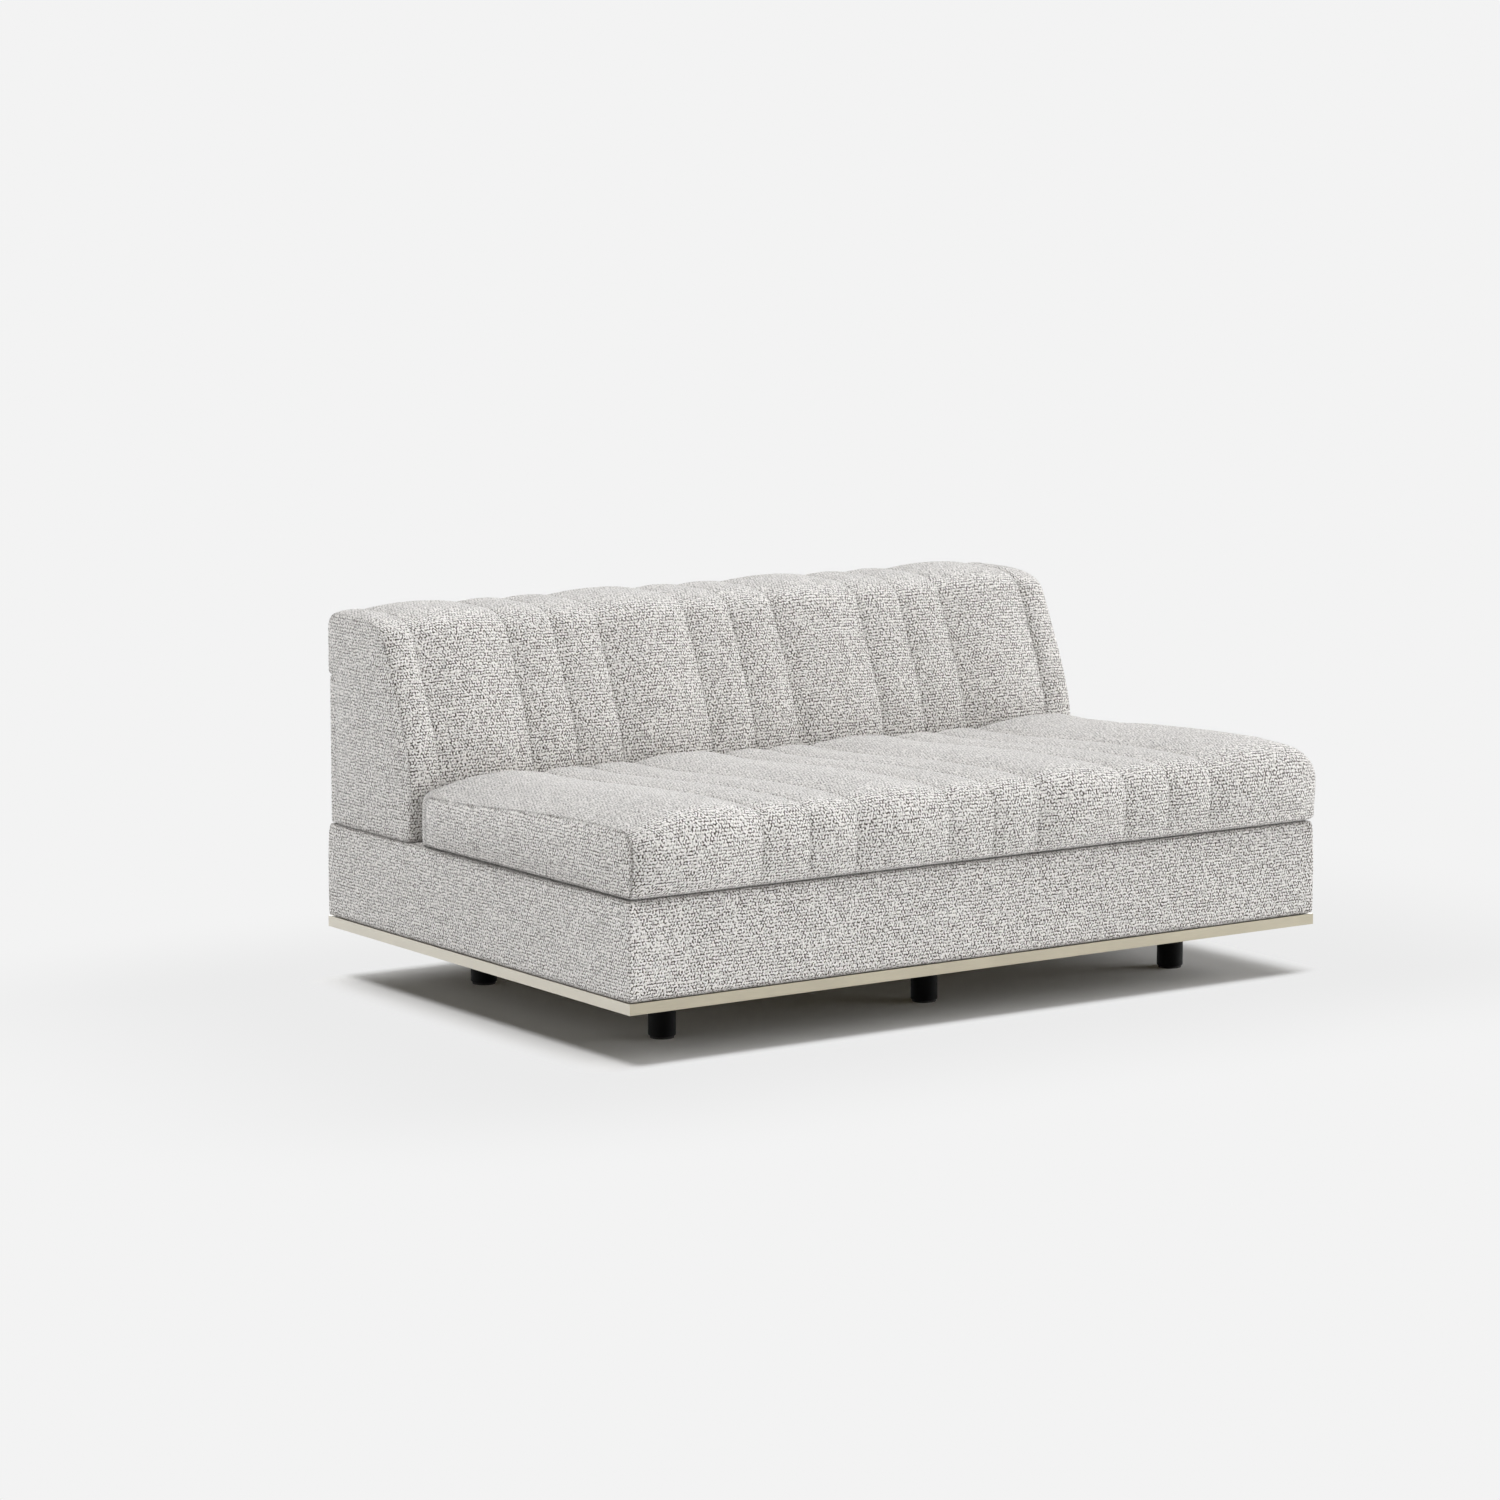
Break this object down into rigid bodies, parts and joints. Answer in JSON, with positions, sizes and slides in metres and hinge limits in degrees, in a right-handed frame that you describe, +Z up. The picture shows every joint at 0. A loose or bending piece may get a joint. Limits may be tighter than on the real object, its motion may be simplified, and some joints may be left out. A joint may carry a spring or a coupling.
{
  "type": "modular sofa",
  "caption": "Armless upholstered modular sofa unit: channel-tufted backrest and loose seat cushion on a padded base with a metal plinth strip and round feet.",
  "frame": {"origin": "on the floor under the middle of the unit", "axes": "+X along the width, to the right as seen from the front; +Y to the rear, behind the backrest; +Z up"},
  "size_m": [1.506, 1.0139, 0.687],
  "materials": {
    "boucle": "chunky light greige basket weave with darker flecks",
    "plinth": "satin champagne lacquer on steel",
    "foot": "black, fine satin",
    "glide": "black felt-faced plastic",
    "timber": "planed pine, unfinished",
    "plywood": "birch plywood, unfinished",
    "webbing": "woven elastic strap",
    "foam": "open-cell foam",
    "dust_cloth": "thin non-woven cloth",
    "zinc": "zinc-plated steel",
    "zip_tape": "greige zip tape",
    "zip_coil": "greige nylon coil",
    "zip_metal": "painted slider"
  },
  "bodies": {
    "base": {"foot_front_left": "foot", "foot_front_middle": "foot", "foot_front_right": "foot", "foot_rear_left": "foot", "foot_rear_middle": "foot", "foot_rear_right": "foot", "foot_glides": "glide", "foot_studs": "zinc", "foot_tnuts": "zinc", "plinth_bar_front": "plinth", "plinth_bar_rear": "plinth", "plinth_bar_left": "plinth", "plinth_bar_right": "plinth", "plinth_screws": "zinc", "rail_front": "timber", "rail_rear": "timber", "rail_left": "timber", "rail_right": "timber", "rail_centre": "timber", "rail_backrest": "timber", "foot_board_front": "timber", "foot_board_rear": "timber", "corner_blocks": "timber", "frame_screws": "zinc", "link_inserts": "zinc", "backrest_shelf": "plywood", "webbing_lengthwise": "webbing", "webbing_crosswise": "webbing", "deck_pad": "foam", "deck_cover": "boucle", "band_front": "boucle", "band_rear": "boucle", "band_left": "boucle", "band_right": "boucle", "dust_cover": "dust_cloth", "back_bottom_board": "plywood", "back_rib_left": "plywood", "back_rib_mid_left": "plywood", "back_rib_mid_right": "plywood", "back_rib_right": "plywood", "back_top_rail": "timber", "back_rear_rail": "timber", "back_webbing": "webbing", "back_foam": "foam", "back_cover": "boucle", "back_side_left": "boucle", "back_side_right": "boucle", "outer_back_panel": "boucle", "back_bolts": "zinc", "back_tnuts": "zinc"},
    "seat_cushion": {"seat_foam": "foam", "seat_cover": "boucle", "zip_tape": "zip_tape", "zip_teeth": "zip_coil"},
    "zip_pull": {"zip_slider": "zip_metal"}
  },
  "joints": [
    {"name": "seat_cushion_lift", "type": "slide", "parent": "base", "child": "seat_cushion", "axis": [0, 0, 1], "range_m": [0, 0.25]},
    {"name": "zip_slider_travel", "type": "slide", "parent": "seat_cushion", "child": "zip_pull", "axis": [-1, 0, 0], "range_m": [0, 1.27]}
  ]
}
